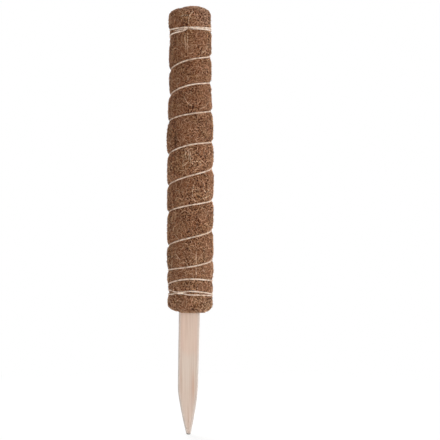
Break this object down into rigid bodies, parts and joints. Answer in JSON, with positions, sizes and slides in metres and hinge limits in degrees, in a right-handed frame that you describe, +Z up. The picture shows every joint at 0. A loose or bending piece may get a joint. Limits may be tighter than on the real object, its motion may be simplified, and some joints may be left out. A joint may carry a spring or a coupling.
{
  "type": "moss pole",
  "caption": "Plant support pole: a coir-wrapped tube bound with spiral twine, on a flat wooden stake with a sawn point that is pushed into the potting soil.",
  "frame": {"origin": "on the sleeve's axis at the soil line, which is the underside of the coir sleeve", "axes": "+Z up along the pole; -Y is the front seen in the picture, where the mat's lap edge shows left of the middle; +X is to the right of that view"},
  "size_m": [0.0427, 0.0424, 0.4],
  "materials": {
    "wood": "bare sawn pale softwood",
    "tube_plastic": "plain grey extruded tube",
    "nail_steel": "bright wire nail",
    "coir": "matted brown coconut fibre",
    "twine": "pale three-ply natural twine"
  },
  "bodies": {
    "root": {"wood_stake": "wood", "core_tube": "tube_plastic", "nail_left": "nail_steel", "nail_right": "nail_steel", "foot_wad_front": "coir", "foot_wad_back": "coir", "top_plug": "coir", "coir_mat": "coir", "binding_twine": "twine", "head_hitch": "twine", "foot_hitch": "twine"}
  },
  "joints": []
}
